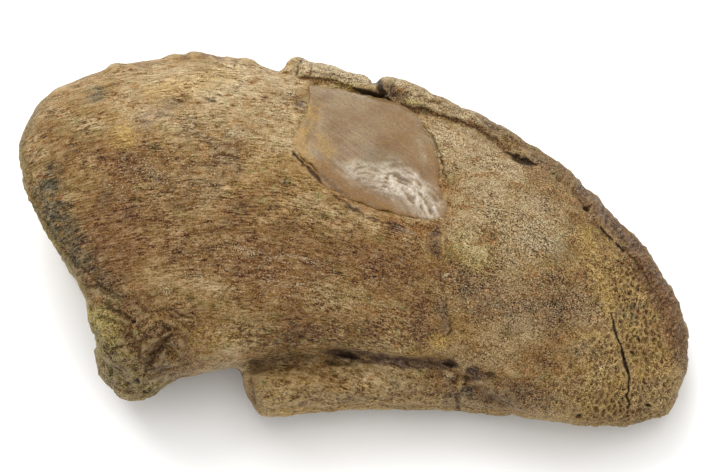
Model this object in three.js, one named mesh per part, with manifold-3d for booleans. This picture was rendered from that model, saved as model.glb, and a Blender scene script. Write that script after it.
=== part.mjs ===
// A dinosaur claw bone lying on its side, with a smooth repair let into its upper face.
// Millimetres. +X runs from the joint end to the tip, +Y from the gripping edge to the
// back edge, +Z up from the surface that the claw lies on. The origin is under the middle.
import * as THREE from 'three';
import { mergeVertices } from 'three/addons/utils/BufferGeometryUtils.js';
import Module from 'manifold-3d';

const wasm = await Module();
wasm.setup();

// ---------------------------------------------------------------- driving sizes

const REPAIR_CENTRE = new THREE.Vector2(4, 17); // middle of the repair, seen from above
const REST_CUT = 0.6; // the claw rests on a flat worn this far into its lowest bulge
const FILL_DEPTH = 2.6; // how far the repair's recess goes below the bone's surface
const FILL_GAP = 0.3; // clearance between the repair and its recess
const BODY_FACETS = 56; // facets around the body
const STRIP_FACETS = 20; // facets around the lip and the rims
const GROOVE_FACETS = 10; // facets around each cutter
const BACK_FULLNESS = 0.86; // 1 makes a section elliptical, less makes it fuller
const FRONT_FULLNESS = 0.56; // the upper quarter next to the gripping edge is the fullest
const FACE_END = 0.05; // share of the body taken by the joint face's rounded rim
const TIP_START = 0.94; // share of the body where the tip begins to close
const KEEL = 0.022; // height of the joint face's keel, as a share of the body
const FACE_LEAN = 0.13; // how far the joint face leans over, as a slope

// ---------------------------------------------------------------- helpers

// A smooth curve through points [x, y].
function smooth(points) {
  const knots = points.map(([x, y]) => new THREE.Vector3(x, y, 0));
  return new THREE.CatmullRomCurve3(knots, false, 'centripetal');
}

// A smooth value from evenly spaced samples, as a function of t from 0 to 1.
function along(samples) {
  const curve = new THREE.SplineCurve(samples.map((value, i) => new THREE.Vector2(i, value)));
  return (t) => curve.getPoint(THREE.MathUtils.clamp(t, 0, 1)).y;
}

// A closed manifold solid from any closed geometry.
function solid(geometry) {
  const bare = geometry.clone();
  bare.deleteAttribute('normal');
  bare.deleteAttribute('uv');
  const merged = mergeVertices(bare, 1e-4);
  const index = merged.index.array;
  const triangles = [];
  for (let i = 0; i < index.length; i += 3) {
    const [a, b, c] = index.slice(i, i + 3);
    if (a !== b && b !== c && c !== a) triangles.push(a, b, c);
  }
  return new wasm.Manifold(new wasm.Mesh({
    numProp: 3,
    vertProperties: new Float32Array(merged.attributes.position.array),
    triVerts: new Uint32Array(triangles),
  }));
}

// The same geometry as a solid whose faces point out.
function outward(geometry) {
  const asMade = solid(geometry);
  if (asMade.volume() > 0) return asMade;
  const index = geometry.index.array;
  for (let i = 0; i < index.length; i += 3) {
    [index[i], index[i + 1]] = [index[i + 1], index[i]];
  }
  return solid(geometry);
}

// A named three.js mesh from a manifold solid.
function meshOf(body, name, material) {
  const { vertProperties, triVerts } = body.getMesh();
  const geometry = new THREE.BufferGeometry();
  geometry.setAttribute('position', new THREE.BufferAttribute(vertProperties, 3));
  geometry.setIndex(new THREE.BufferAttribute(triVerts, 1));
  geometry.computeVertexNormals();
  const mesh = new THREE.Mesh(geometry, material);
  mesh.name = name;
  return mesh;
}

// A number from -1 to 1 pushed outwards to fill the section's corners.
const fuller = (value, exponent) => Math.sign(value) * Math.abs(value) ** exponent;

// A lump of bone: a turned profile whose rings are stretched over the lump's sections.
// profile holds (ring scale, station) pairs from one end to the other. The section at a
// station spans the back and front edge curves and has its own upper and lower depth.
// overhang carries the upper half out over the lower one along the front edge, and bow
// moves the near end along X by an amount that depends on how far across it is.
function lump({
  profile, facets, back, front, middle, upper, lower,
  keel = 0, lean = 0, overhang = () => 0, bow = () => 0,
}) {
  const turned = new THREE.LatheGeometry(profile, facets);
  const place = turned.attributes.position;
  const onBack = new THREE.Vector3();
  const onFront = new THREE.Vector3();
  for (let i = 0; i < place.count; i += 1) {
    const ring = Math.hypot(place.getX(i), place.getZ(i));
    const side = ring ? place.getX(i) / ring : 0;
    const rise = ring ? place.getZ(i) / ring : 0;
    const fullness = side < 0 && rise > 0 ? FRONT_FULLNESS : BACK_FULLNESS;
    const across = ring * fuller(side, fullness);
    const up = ring * fuller(rise, fullness);
    const ridge = Math.exp(-((ring * rise) ** 2) / 0.08) * Math.max(0, 1 - (ring / 0.8) ** 2);
    const inFace = place.getY(i) < 0.5;
    const station = place.getY(i) - (inFace ? keel * ridge : 0);
    const t = THREE.MathUtils.clamp(station, 0, 1);
    back.getPoint(t, onBack);
    front.getPoint(t, onFront);
    const high = up * (up > 0 ? upper(t) : lower(t));
    const atFace = Math.max(0, 1 - 4 * t);
    const shift = (bow((across + 1) / 2) - lean * high) * atFace;
    const x = (onBack.x + onFront.x) / 2 + (across * (onBack.x - onFront.x)) / 2;
    const y = (onBack.y + onFront.y) / 2 + (across * (onBack.y - onFront.y)) / 2;
    const reach = across < 0 ? across * up * overhang(t) : 0;
    place.setXYZ(i, x + shift, y + reach, middle(t) + high);
  }
  return outward(turned);
}

// (ring scale, station) pairs for a strip with rounded ends.
function stripProfile(steps, startRound, endRound) {
  const pairs = [];
  for (let i = 0; i <= steps; i += 1) {
    const t = (1 - Math.cos((Math.PI * i) / steps)) / 2;
    const start = Math.min(1, t / startRound);
    const end = Math.min(1, (1 - t) / endRound);
    const scale = Math.sqrt(1 - (1 - start) ** 2) * Math.sqrt(1 - (1 - end) ** 2);
    pairs.push(new THREE.Vector2(i === 0 || i === steps ? 0 : scale, t));
  }
  return pairs;
}

// ---------------------------------------------------------------- the bone's masses

// (ring scale, station) pairs for the body: hollow joint face, shaft and blunt tip.
function bodyProfile() {
  const face = new THREE.SplineCurve([
    new THREE.Vector2(0, 0.055),
    new THREE.Vector2(0.3, 0.05),
    new THREE.Vector2(0.6, 0.028),
    new THREE.Vector2(0.8, 0.003),
    new THREE.Vector2(0.87, 0),
    new THREE.Vector2(0.95, 0.014),
    new THREE.Vector2(1, FACE_END),
  ]);
  const pairs = face.getPoints(13);
  const shaftSteps = 26;
  for (let i = 1; i <= shaftSteps; i += 1) {
    pairs.push(new THREE.Vector2(1, FACE_END + ((TIP_START - FACE_END) * i) / shaftSteps));
  }
  const tipSteps = 8;
  for (let i = 1; i <= tipSteps; i += 1) {
    const angle = (Math.PI / 2) * (i / tipSteps);
    const scale = i === tipSteps ? 0 : Math.cos(angle);
    pairs.push(new THREE.Vector2(scale, TIP_START + (1 - TIP_START) * Math.sin(angle)));
  }
  return pairs;
}

// The main mass, from the hollow joint face to the blunt tip.
function body() {
  return lump({
    profile: bodyProfile(),
    facets: BODY_FACETS,
    back: smooth([
      [-82.5, 25], [-75.5, 33.8], [-61.5, 41.2], [-52, 43.8], [-41, 46], [-24, 43.5], [-10, 40],
      [5, 37], [20, 33], [35, 28], [50, 19.5], [62, 10.5], [72.3, -0.5], [79.5, -12], [84, -18],
    ]),
    front: smooth([
      [-57, -39], [-52, -40.5], [-44, -38.5], [-34.5, -36], [-23, -34], [-8.5, -33],
      [7.5, -33.5], [23.5, -36.5], [40, -45.3], [52, -47.7], [63, -47.9], [74.5, -46],
      [83, -41],
    ]),
    middle: along([21, 21.5, 21, 20, 19, 18, 17, 16, 15, 14, 13, 12, 11.5]),
    upper: along([23, 24, 24, 23.5, 23, 22, 21, 20, 18.5, 16.5, 14, 11.5, 9]),
    lower: along([18, 20, 20.4, 19.9, 19, 18, 17, 15.9, 14.7, 13.2, 11.4, 9.2, 7.5]),
    keel: KEEL,
    lean: FACE_LEAN,
    overhang: along([1, 3, 4, 4, 4, 4, 4, 3, 1.5, 0, 0]),
    bow: along([0, -2.2, 0.2, -2.2, -3.2, -1.6, 0.8]),
  });
}

// The lip along the gripping edge, its near end broken off square.
function ventralLip() {
  return lump({
    profile: stripProfile(22, 0.004, 0.25),
    facets: STRIP_FACETS,
    back: smooth([
      [-25.4, -36.3], [-16, -35.3], [-7, -33.5], [5, -32], [14, -32.5], [24, -33.5], [36, -36],
      [48, -39.5],
    ]),
    front: smooth([
      [-22.3, -45], [-19, -45.7], [-8, -44.3], [5, -43.5], [16, -44], [26, -43.5], [38, -45],
      [50, -46.5],
    ]),
    middle: along([16, 16, 15.5, 15, 14, 13]),
    upper: along([9, 10, 10, 10, 9.5, 8]),
    lower: along([9, 10, 10, 9, 9, 8]),
  });
}

// The smooth ledge between the side of the claw and the near half of the lip.
function ledge() {
  return lump({
    profile: stripProfile(14, 0.004, 0.3),
    facets: STRIP_FACETS,
    back: smooth([[-27.5, -28], [-15, -27], [-2, -27], [10, -28]]),
    front: smooth([[-26, -40], [-15, -40], [-2, -39], [10, -38]]),
    middle: along([13, 13, 13]),
    upper: along([8.5, 8, 5]),
    lower: along([8, 8, 8]),
  });
}

// One stretch of the raised rim along the back edge, with a broken near end.
function rim({ back, width, startRound, endRound, middle }) {
  return lump({
    profile: stripProfile(16, startRound, endRound),
    facets: STRIP_FACETS,
    back: smooth(back),
    front: smooth(back.map(([x, y]) => [x - width / 3, y - width])),
    middle: along(middle),
    upper: along([11.5, 11.5, 11, 10]),
    lower: along([12, 12, 11, 9]),
  });
}

const nearRim = () => rim({
  back: [[-14.6, 46.6], [-9, 44.8], [-1, 42.6], [8, 39.8]],
  width: 14,
  startRound: 0.02,
  endRound: 0.12,
  middle: [20, 19.5, 19, 19],
});

const farRim = () => rim({
  back: [[5.8, 40.6], [10.5, 40.8], [19, 37.5], [29, 32.5], [40, 27.1], [50, 21], [59, 13]],
  width: 13,
  startRound: 0.06,
  endRound: 0.3,
  middle: [19, 18.5, 18, 17, 15, 13],
});

// The knob below the joint face, where the bending tendon was fixed.
function flexorKnob() {
  const knob = new THREE.SphereGeometry(1, 18, 12);
  knob.scale(9.5, 11, 15);
  knob.rotateZ(0.3);
  knob.translate(-53.6, -31.2, 18);
  return solid(knob);
}

// ---------------------------------------------------------------- what is missing

// A cutter for a groove: narrow across, tall enough to reach out of the surface.
// bottom gives the height of the groove's floor along it.
function groove({ path, width, bottom, top }) {
  const wide = along(width);
  const floor = along(bottom);
  const line = smooth(path);
  const shift = (side) => {
    const count = 12;
    const points = [];
    for (let i = 0; i <= count; i += 1) {
      const t = i / count;
      const at = line.getPoint(t);
      const way = line.getTangent(t);
      const step = (side * wide(t)) / 2;
      points.push([at.x - way.y * step, at.y + way.x * step]);
    }
    return smooth(points);
  };
  return lump({
    profile: stripProfile(14, 0.15, 0.2),
    facets: GROOVE_FACETS,
    back: shift(1),
    front: shift(-1),
    middle: (t) => (floor(t) + top) / 2,
    upper: (t) => (top - floor(t)) / 2,
    lower: (t) => (top - floor(t)) / 2,
  });
}

// The line that parts the back rim from the side of the claw.
const backGroove = () => groove({
  path: [
    [-15, 39], [-8, 37.5], [0, 34.8], [7, 32], [12, 31.5], [20, 29], [30, 24], [37, 19.5],
    [46, 14.5],
  ],
  width: [1.2, 1.4, 1.6, 3, 2, 1.6, 1.6, 2.6, 1.5],
  bottom: [29.5, 28, 26, 24, 25.2, 27, 26.5, 24.8, 26.2],
  top: 46,
});

// The deep channel between the side of the claw and the gripping edge's lip.
const frontGroove = () => groove({
  path: [
    [-9, -34.5], [-4, -34.7], [2, -34.9], [9, -35.3], [18, -36], [25, -36.6], [28, -37],
  ],
  width: [1.2, 2.4, 2.2, 1.8, 1.8, 2.4, 1.2],
  bottom: [22, 16, 17, 20.5, 20.5, 17, 22],
  top: 40,
});

// The crack that opened across the tip.
const tipCrack = () => groove({
  path: [[62.5, -20], [64, -26], [65.5, -31], [66.5, -37], [66, -46]],
  width: [0.6, 0.9, 1.3, 1.1, 1],
  bottom: [26.2, 24.2, 22, 21.5, 15],
  top: 34,
});

// Everything under a level, to be cut away.
function below(level) {
  const slab = new THREE.BoxGeometry(300, 300, 100);
  slab.translate(0, 0, level - 50);
  return solid(slab);
}

function wholeClaw() {
  const grown = body()
    .add(flexorKnob())
    .add(ventralLip())
    .add(ledge())
    .add(nearRim())
    .add(farRim());
  const worn = grown
    .subtract(backGroove())
    .subtract(frontGroove())
    .subtract(tipCrack());
  const lowest = worn.boundingBox().min[2];
  return worn.subtract(below(lowest + REST_CUT));
}

// ---------------------------------------------------------------- the repair

// The repair's outline seen from above, drawn in by a margin.
function repairPrism(margin) {
  const outline = new THREE.Shape();
  outline.moveTo(-9.5, 34.4);
  outline.lineTo(-3, 33.8);
  outline.quadraticCurveTo(12, 31, 15, 27.5);
  outline.quadraticCurveTo(20, 19, 20.8, 13);
  outline.lineTo(21.2, 7);
  outline.lineTo(24, 0);
  outline.quadraticCurveTo(21, -3.5, 11, -0.8);
  outline.lineTo(-1, 3.2);
  outline.lineTo(-5.7, 6);
  outline.lineTo(-8.3, 10.4);
  outline.quadraticCurveTo(-13, 13.2, -13.7, 17.4);
  outline.quadraticCurveTo(-13, 21.7, -10, 23.8);
  outline.closePath();
  const prism = new THREE.ExtrudeGeometry(outline, {
    depth: 60,
    bevelEnabled: false,
    curveSegments: 6,
  });
  const place = prism.attributes.position;
  for (let i = 0; i < place.count; i += 1) {
    const out = new THREE.Vector2(place.getX(i) - REPAIR_CENTRE.x, place.getY(i) - REPAIR_CENTRE.y);
    out.setLength(out.length() - margin);
    place.setX(i, REPAIR_CENTRE.x + out.x);
    place.setY(i, REPAIR_CENTRE.y + out.y);
  }
  return solid(prism);
}

// ---------------------------------------------------------------- assembly

const claw = wholeClaw();
const sunk = claw.translate([0, -0.8, -FILL_DEPTH]);
const sunkLess = claw.translate([0, -0.7, FILL_GAP - FILL_DEPTH]);
const recess = repairPrism(0).subtract(sunk);
const clawBone = claw.subtract(recess);
const repairFill = claw.intersect(repairPrism(FILL_GAP).subtract(sunkLess));

const bone = new THREE.MeshStandardMaterial({ color: 0x8f7247, roughness: 0.75, metalness: 0 });
const resin = new THREE.MeshStandardMaterial({ color: 0x9c8062, roughness: 0.3, metalness: 0 });

const group = new THREE.Group();
group.add(meshOf(clawBone, 'claw_bone', bone));
group.add(meshOf(repairFill, 'repair_fill', resin));
const { min, max } = claw.boundingBox();
group.position.set(-(min[0] + max[0]) / 2, -(min[1] + max[1]) / 2, -min[2]);
export default group;
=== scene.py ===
"""A dinosaur claw bone, fossilised, lying on its side on a white table.

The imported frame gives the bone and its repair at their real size. This script carves the
fine surface of both from copies of those solids, colours them, and sets the table, the
light and the camera. Lengths inside the carving classes are in millimetres.

The flank's plane, on which cracks and stains are placed, runs through the claw's length
and is tipped up towards the viewer. Its first axis runs to the tip, its second to the back.
"""

import logging
import math
from dataclasses import dataclass, field
from enum import Enum
from typing import Any, Callable, Sequence

import bmesh
import bpy
import numpy as np
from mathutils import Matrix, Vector, noise
from mathutils.bvhtree import BVHTree


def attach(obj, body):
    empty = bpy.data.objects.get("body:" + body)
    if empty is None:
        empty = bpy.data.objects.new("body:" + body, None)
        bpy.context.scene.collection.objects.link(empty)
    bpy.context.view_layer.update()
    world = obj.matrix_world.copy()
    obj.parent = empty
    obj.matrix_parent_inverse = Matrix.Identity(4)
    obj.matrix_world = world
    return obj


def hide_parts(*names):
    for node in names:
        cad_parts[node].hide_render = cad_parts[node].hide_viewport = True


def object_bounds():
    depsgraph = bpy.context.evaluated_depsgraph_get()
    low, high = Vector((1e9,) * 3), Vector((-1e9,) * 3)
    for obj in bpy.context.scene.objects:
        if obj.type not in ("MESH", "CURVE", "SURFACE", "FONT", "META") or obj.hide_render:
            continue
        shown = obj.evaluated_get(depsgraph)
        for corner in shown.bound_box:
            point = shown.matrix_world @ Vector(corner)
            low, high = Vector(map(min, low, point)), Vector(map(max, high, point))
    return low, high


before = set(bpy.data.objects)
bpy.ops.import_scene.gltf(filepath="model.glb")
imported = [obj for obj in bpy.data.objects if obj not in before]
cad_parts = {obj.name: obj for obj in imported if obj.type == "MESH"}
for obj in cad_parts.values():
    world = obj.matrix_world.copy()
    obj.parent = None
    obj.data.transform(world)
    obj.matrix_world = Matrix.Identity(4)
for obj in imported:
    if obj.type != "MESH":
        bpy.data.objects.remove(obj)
cad_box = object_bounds()

LOG = logging.getLogger("fossil_claw")
MM = 0.001
FLANK_TILT = math.radians(70)  # the flank is looked at from this far above the table
FLANK_MIDDLE = 6.0  # height of the flank plane's zero along its second axis
FLANK_OUT = np.array([0, -math.cos(FLANK_TILT), math.sin(FLANK_TILT)])
FLANK_UP = np.array([0, math.sin(FLANK_TILT), math.cos(FLANK_TILT)])

ROUND_THE_EDGE = -0.15  # stains run round the flank's edge to where it faces this far away
CUT_ROUND = -0.2  # cuts and dents run a little further
SECTORS = 72  # the repair's edge is measured in this many sectors
TOP_FACE = 0.75  # the repair's top is where it faces the viewer this squarely
TIP_LEAN = 0.25  # the pitted tip's border leans this much from upright

Points = Sequence[tuple[float, float]]
Array = np.ndarray


class Zone(Enum):
    """The parts of the bone that weathered each in its own way."""

    FIBROUS = "fibrous"
    TIP = "tip"
    BAND = "band"
    KNOB = "knob"
    LIP = "lip"
    RIM = "rim"
    SCARRED = "scarred"


class Mark(Enum):
    """What the carving notes on the skin for the finish to read."""

    # hollows: the bone darkens them with grime and painted shade, the filler with painted shade
    HOLLOW = "hollow"
    RIDGE = "ridge"
    # cracks, holes and deep slots, darkened with grime and painted shade
    DIRT_AND_SHADE = "dirt_and_shade"
    SLATE = "slate"
    RUST = "rust"
    OLIVE = "olive"
    GOLD = "gold"
    PLUM = "plum"
    PALE = "pale"
    UMBER = "umber"
    POROUS = "porous"
    FIBROUS = "fibrous"
    # where the pale flecks are thick: painted highlight specks
    FLECKED = "flecked"
    WORN = "worn"


# ------------------------------------------------------------------ small helpers


def linear(hex_colour: str) -> tuple[float, float, float, float]:
    """Turn an sRGB hex colour into linear RGBA.

    Args:
        hex_colour: Six hex digits after a hash sign.

    Returns:
        The linear red, green, blue and an alpha of 1.
    """
    channels = [int(hex_colour[i : i + 2], 16) / 255 for i in (1, 3, 5)]
    curve = [c / 12.92 if c <= 0.04045 else ((c + 0.055) / 1.055) ** 2.4 for c in channels]
    return (*curve, 1.0)


def smooth_line(points: Points, steps: int = 8) -> Array:
    """Round the corners of a given line with a Catmull-Rom curve.

    Args:
        points: The places that the line passes through.
        steps: How many pieces each stretch is cut into.

    Returns:
        The finer line, one row a place.
    """
    knots = np.array(points, float)
    padded = np.vstack([2 * knots[0] - knots[1], knots, 2 * knots[-1] - knots[-2]])
    places = []
    for a, b, c, d in zip(padded, padded[1:], padded[2:], padded[3:]):
        for step in range(steps):
            t = step / steps
            places.append(
                0.5 * (2 * b + (c - a) * t + (2 * a - 5 * b + 4 * c - d) * t**2
                       + (3 * b - a - 3 * c + d) * t**3)
            )
    return np.vstack([*places, knots[-1]])


def distance_to_line(places: Array, line: Array) -> tuple[Array, Array]:
    """Measure how far each place is from a line.

    Args:
        places: One row a place.
        line: One row a corner of the line.

    Returns:
        The distances, and how far along the line the nearest point is, from 0 to 1.
    """
    nearest = np.full(len(places), np.inf)
    share = np.zeros(len(places))
    count = len(line) - 1
    for i in range(count):
        start, way = line[i], line[i + 1] - line[i]
        t = np.clip(((places - start) @ way) / max(way @ way, 1e-9), 0, 1)
        gap = np.linalg.norm(places - start - t[:, None] * way, axis=1)
        closer = gap < nearest
        nearest = np.where(closer, gap, nearest)
        share = np.where(closer, (i + t) / count, share)
    return nearest, share


def step_up(values: Array, low: float, high: float) -> Array:
    """Ease from 0 at low to 1 at high, or the other way if low is the larger."""
    t = np.clip((values - low) / (high - low), 0, 1)
    return t * t * (3 - 2 * t)


def rough(places: Array, size: Sequence[float], octaves: int = 3, seed: int = 0) -> Array:
    """Sample smooth noise.

    Args:
        places: One row a place, in millimetres.
        size: The size of a lump along each axis, in millimetres.
        octaves: How many finer layers are added.
        seed: Moves the pattern.

    Returns:
        One value a place, from about -1 to 1.
    """
    scaled = places / np.array(size) + 17.3 * seed
    return np.array([noise.fractal(Vector(p), 1.0, 2.1, octaves) for p in scaled])


# ------------------------------------------------------------------ carving the surface


@dataclass
class Skin:
    """The places and directions of a mesh's corners, in millimetres."""

    mesh: bpy.types.Mesh
    places: Array = field(init=False)
    outward: Array = field(init=False)
    marks: dict[Mark, Array] = field(init=False, default_factory=dict)

    def __post_init__(self) -> None:
        """Read the mesh."""
        flat = np.zeros(len(self.mesh.vertices) * 3)
        self.mesh.vertices.foreach_get("co", flat)
        self.places = flat.reshape(-1, 3) / MM
        self.read_outward()

    def read_outward(self) -> None:
        """Take each corner's outward direction from the mesh."""
        flat = np.zeros(len(self.mesh.vertices) * 3)
        self.mesh.vertices.foreach_get("normal", flat)
        self.outward = flat.reshape(-1, 3)

    def refresh(self) -> None:
        """Write the corners and read their new directions."""
        self.mesh.vertices.foreach_set("co", (self.places * MM).ravel())
        self.mesh.update()
        self.read_outward()

    def write_marks(self) -> None:
        """Store every mark on the mesh, so that the finish can read it."""
        for mark in Mark:
            values = self.marks.get(mark, np.zeros(len(self.places)))
            layer = self.mesh.attributes.new(mark.value, "FLOAT", "POINT")
            layer.data.foreach_set("value", np.clip(values, 0, 1).astype(np.float32))

    def flank(self) -> Array:
        """Give each corner's place on the flank's plane."""
        return np.column_stack([self.places[:, 0], self.places @ FLANK_UP - FLANK_MIDDLE])

    def facing(self) -> Array:
        """Say how squarely each corner faces out of the flank, from -1 to 1."""
        return self.outward @ FLANK_OUT

    def mark(self, mark: Mark, values: Array, picked: Array | None = None) -> None:
        """Add to a mark, keeping the larger value.

        Args:
            mark: The mark to add to.
            values: Its new values.
            picked: The corners that they are for, or None for all.
        """
        before = self.marks.setdefault(mark, np.zeros(len(self.places)))
        picked = slice(None) if picked is None else picked
        before[picked] = np.maximum(before[picked], values)


@dataclass(frozen=True)
class Relief:
    """A layer of lumps worn into the bone.

    Attributes:
        size: The size of a lump along each axis, in millimetres.
        octaves: How many finer layers are added.
        seed: Moves the pattern.
        height: How high the lumps stand all over.
        more: How much higher they stand in a zone.
        on_grain: Whether the lumps are drawn out along the grain.
    """

    size: tuple[float, float, float]
    octaves: int
    seed: int
    height: float
    more: tuple[tuple[Zone, float], ...] = ()
    on_grain: bool = False

    def heights(self, places: Array, grain: Array, zones: dict[Zone, Array]) -> Array:
        """Say how high each corner stands.

        Args:
            places: One row a corner.
            grain: Each corner's place along, across and through the grain.
            zones: How far each corner belongs to each zone.

        Returns:
            One height a corner, in millimetres.
        """
        tall = self.height + sum(more * zones[zone] for zone, more in self.more)
        return tall * rough(grain if self.on_grain else places, self.size, self.octaves, self.seed)


@dataclass(frozen=True)
class Pull:
    """A gentle pull on the bone's outline.

    Attributes:
        middle: The point on the flank's plane that is pulled most.
        reach: How far along each axis of the plane the pull is felt.
        way: How far the middle moves along each axis.
    """

    middle: tuple[float, float]
    reach: tuple[float, float]
    way: tuple[float, float]

    def carve(self, skin: Skin) -> None:
        """Draw the skin along the flank's plane.

        Args:
            skin: The surface to move.
        """
        away = (skin.flank() - np.array(self.middle)) / np.array(self.reach)
        share = step_up(np.linalg.norm(away, axis=1), 1, 0)
        skin.places[:, 0] += self.way[0] * share
        skin.places += FLANK_UP * (self.way[1] * share)[:, None]


@dataclass(frozen=True)
class Furrow:
    """A groove, crack or seam cut into the flank along a line.

    Attributes:
        line: Its route on the flank's plane.
        half_width: Half its width at the surface.
        depth: How deep it goes, or with a minus how high it stands.
        sharpness: 1 gives a V, less gives a U, more gives a slit with eased shoulders.
        ragged: How much its width changes along it, as a share.
        wander: How far its route strays from side to side.
        fade: The share of its length over which each end runs out.
        mark: The mark that it leaves for the finish.
        stain: How strongly it leaves that mark.
    """

    line: Points
    half_width: float
    depth: float
    sharpness: float = 1.0
    ragged: float = 0.5
    wander: float = 0.25
    fade: float = 0.1
    mark: Mark = Mark.DIRT_AND_SHADE
    stain: float = 0.9

    def carve(self, skin: Skin) -> None:
        """Push the skin in along the line.

        Args:
            skin: The surface to carve.
        """
        on_flank = skin.flank()
        margin = 3 * self.half_width + 1
        low, high = np.min(self.line, axis=0) - margin, np.max(self.line, axis=0) + margin
        near = np.all((on_flank > low) & (on_flank < high), axis=1) & (skin.facing() > CUT_ROUND)
        picked = np.flatnonzero(near)
        spots = skin.places[picked]
        stray = np.column_stack(
            [rough(spots, (2.5, 2.5, 2.5), 3, seed=31), rough(spots, (2.5, 2.5, 2.5), 3, seed=32)]
        )
        strayed = on_flank[picked] + self.wander * stray
        gap, share = distance_to_line(strayed, smooth_line(self.line))
        ends = np.clip(np.minimum(share, 1 - share) / max(self.fade, 1e-3), 0.02, 1)
        width = self.half_width * (1 + self.ragged * rough(spots, (3, 3, 3), 2, seed=5)) * ends
        inside = np.clip(1 - gap / width, 0, 1) ** self.sharpness
        skin.places[picked] -= FLANK_OUT * (self.depth * inside * ends)[:, None]
        skin.mark(self.mark, self.stain * step_up(gap / width, 1.3, 0.5), picked)


@dataclass(frozen=True)
class Dent:
    """A hollow, or with a negative depth a lump, with an oval outline on the flank.

    Attributes:
        middle: Its middle on the flank's plane.
        radii: Its half length and half width.
        depth: How deep it goes.
        turn: Its turn, in degrees.
        mark: The mark that it leaves for the finish.
        stain: How strongly it leaves that mark.
        ragged: How uneven its outline is.
    """

    middle: tuple[float, float]
    radii: tuple[float, float]
    depth: float
    turn: float = 0.0
    mark: Mark = Mark.DIRT_AND_SHADE
    stain: float = 0.7
    ragged: float = 0.5

    def carve(self, skin: Skin) -> None:
        """Push the skin in, or out, inside the oval.

        Args:
            skin: The surface to carve.
        """
        turn = math.radians(self.turn)
        offset = skin.flank() - np.array(self.middle)
        long = offset @ np.array([math.cos(turn), math.sin(turn)]) / self.radii[0]
        wide = offset @ np.array([-math.sin(turn), math.cos(turn)]) / self.radii[1]
        away = np.hypot(long, wide)
        picked = np.flatnonzero((away < 1.8) & (skin.facing() > CUT_ROUND))
        uneven = 1 + self.ragged * rough(skin.places[picked], (2.2, 2.2, 2.2), 3, seed=8)
        away = away[picked] / uneven
        inside = step_up(away, 1.0, 0.3)
        skin.places[picked] -= skin.outward[picked] * (self.depth * inside)[:, None]
        skin.mark(self.mark, self.stain * step_up(away, 1.1, 0.5), picked)


@dataclass(frozen=True)
class Stain:
    """A colour soaked into the bone in patches with uneven edges.

    Attributes:
        mark: The colour that it leaves.
        patches: For each patch, its route on the flank's plane or one point, how far it
            reaches from there, and how strong it is in the middle.
    """

    mark: Mark
    patches: tuple[tuple[Points, float, float], ...]

    def lay(self, skin: Skin, uneven: Array) -> None:
        """Leave the mark on the skin.

        Args:
            skin: The surface to mark.
            uneven: A smooth value for each corner, from about -1 to 1, that breaks the edge.
        """
        turned = skin.facing() > ROUND_THE_EDGE
        for line, half_width, strength in self.patches:
            knots = np.array(line if len(line) > 1 else [*line, *line], float)
            gap, _ = distance_to_line(skin.flank(), knots)
            away = gap / (half_width * (1 + 0.5 * uneven))
            skin.mark(self.mark, strength * step_up(away, 1.5, 0.3) * turned)


# ------------------------------------------------------------------ building meshes


def copy_node(node: bpy.types.Object, name: str) -> bpy.types.Object:
    """Copy a frame solid into a new object with its corners joined.

    Args:
        node: The solid as it came.
        name: The new object's name.

    Returns:
        The new object, at the origin.
    """
    bm = bmesh.new()
    bm.from_mesh(node.data)
    bmesh.ops.remove_doubles(bm, verts=bm.verts, dist=1e-6)
    bmesh.ops.recalc_face_normals(bm, faces=bm.faces)
    mesh = bpy.data.meshes.new(name)
    bm.to_mesh(mesh)
    bm.free()
    made = bpy.data.objects.new(name, mesh)
    bpy.context.scene.collection.objects.link(made)
    return made


def even_out(piece: bpy.types.Object, voxel: float) -> None:
    """Rebuild a piece's mesh from even squares.

    Args:
        piece: The piece to rebuild.
        voxel: The squares' size in millimetres.
    """
    remesh = piece.modifiers.new("Remesh", "REMESH")
    remesh.mode = "VOXEL"
    remesh.voxel_size = voxel * MM
    graph = bpy.context.evaluated_depsgraph_get()
    mesh = bpy.data.meshes.new_from_object(piece.evaluated_get(graph))
    piece.modifiers.clear()
    piece.data = mesh
    mesh.name = piece.name


def triangles(mesh: bpy.types.Mesh) -> int:
    """Count a mesh's triangles."""
    return sum(len(face.vertices) - 2 for face in mesh.polygons)


def refine(mesh: bpy.types.Mesh, wanted: Callable[[Array, Array], Array]) -> None:
    """Cut the wanted faces into four.

    Args:
        mesh: The mesh to refine.
        wanted: Says, from the faces' middles in millimetres and their directions, which
            are cut.
    """
    bm = bmesh.new()
    bm.from_mesh(mesh)
    bm.normal_update()
    middles = np.array([face.calc_center_median() for face in bm.faces]) / MM
    normals = np.array([face.normal for face in bm.faces])
    chosen = wanted(middles, normals)
    edges = {edge for face, cut in zip(bm.faces, chosen) if cut for edge in face.edges}
    bmesh.ops.subdivide_edges(bm, edges=list(edges), cuts=1, use_grid_fill=True, smooth=0)
    bmesh.ops.triangulate(bm, faces=[face for face in bm.faces if len(face.verts) > 4])
    bm.to_mesh(mesh)
    bm.free()


def neighbour_mean(mesh: bpy.types.Mesh, values: Array, rounds: int) -> Array:
    """Average values over each corner's neighbours.

    Args:
        mesh: The mesh that the corners belong to.
        values: One row a corner.
        rounds: How many times.

    Returns:
        The averaged values.
    """
    ends = np.zeros(len(mesh.edges) * 2, np.int64)
    mesh.edges.foreach_get("vertices", ends)
    a, b = ends.reshape(-1, 2).T
    count = np.bincount(a, minlength=len(values)) + np.bincount(b, minlength=len(values))
    flat = values.reshape(len(values), -1).astype(float)
    for _ in range(rounds):
        total = np.zeros_like(flat)
        for column in range(flat.shape[1]):
            total[:, column] += np.bincount(a, flat[b, column], len(flat))
            total[:, column] += np.bincount(b, flat[a, column], len(flat))
        flat = (flat + total) / (count + 1)[:, None]
    return flat.reshape(values.shape)


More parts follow.
